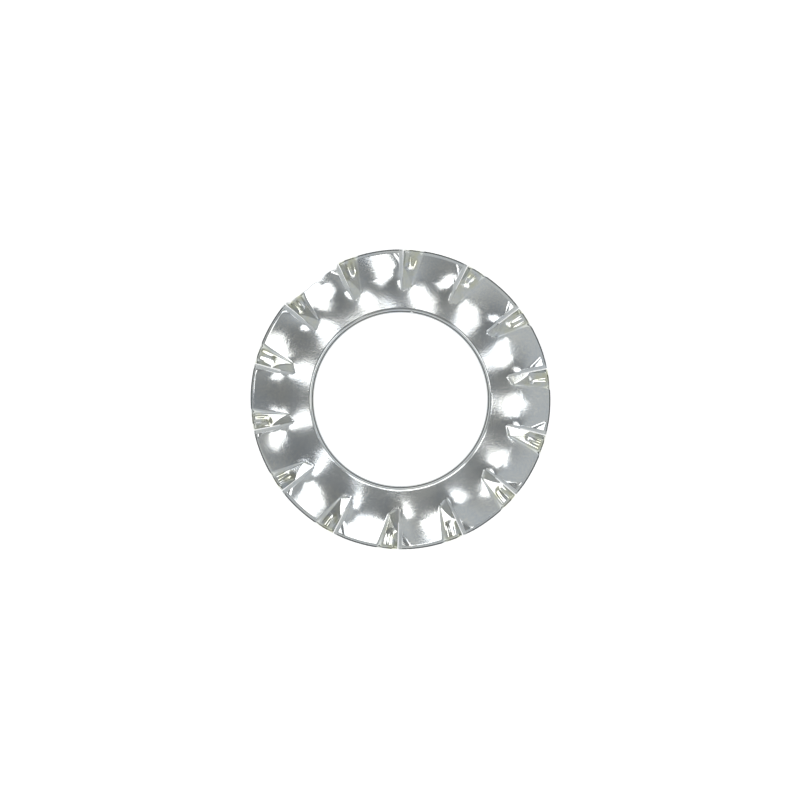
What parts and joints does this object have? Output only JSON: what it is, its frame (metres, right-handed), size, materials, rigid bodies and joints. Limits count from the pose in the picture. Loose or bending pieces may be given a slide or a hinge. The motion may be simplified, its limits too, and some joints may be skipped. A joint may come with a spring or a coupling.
{
  "type": "toothed lock washer",
  "caption": "Ring-shaped toothed lock washer pressed from spring steel, with sheared and twisted external teeth that bite under a screw head or nut.",
  "frame": {"origin": "centre of the hole, level with the lowest points of the teeth, on which the washer stands", "axes": "+Z along the hole, towards the face that the punch rolled over; X and Y lie across the washer"},
  "size_m": [0.015, 0.015, 0.0014],
  "materials": {
    "zinc_plated_steel": "bright zinc plating, polished on the raised faces"
  },
  "bodies": {
    "root": {"lock_washer": "zinc_plated_steel"}
  },
  "joints": []
}
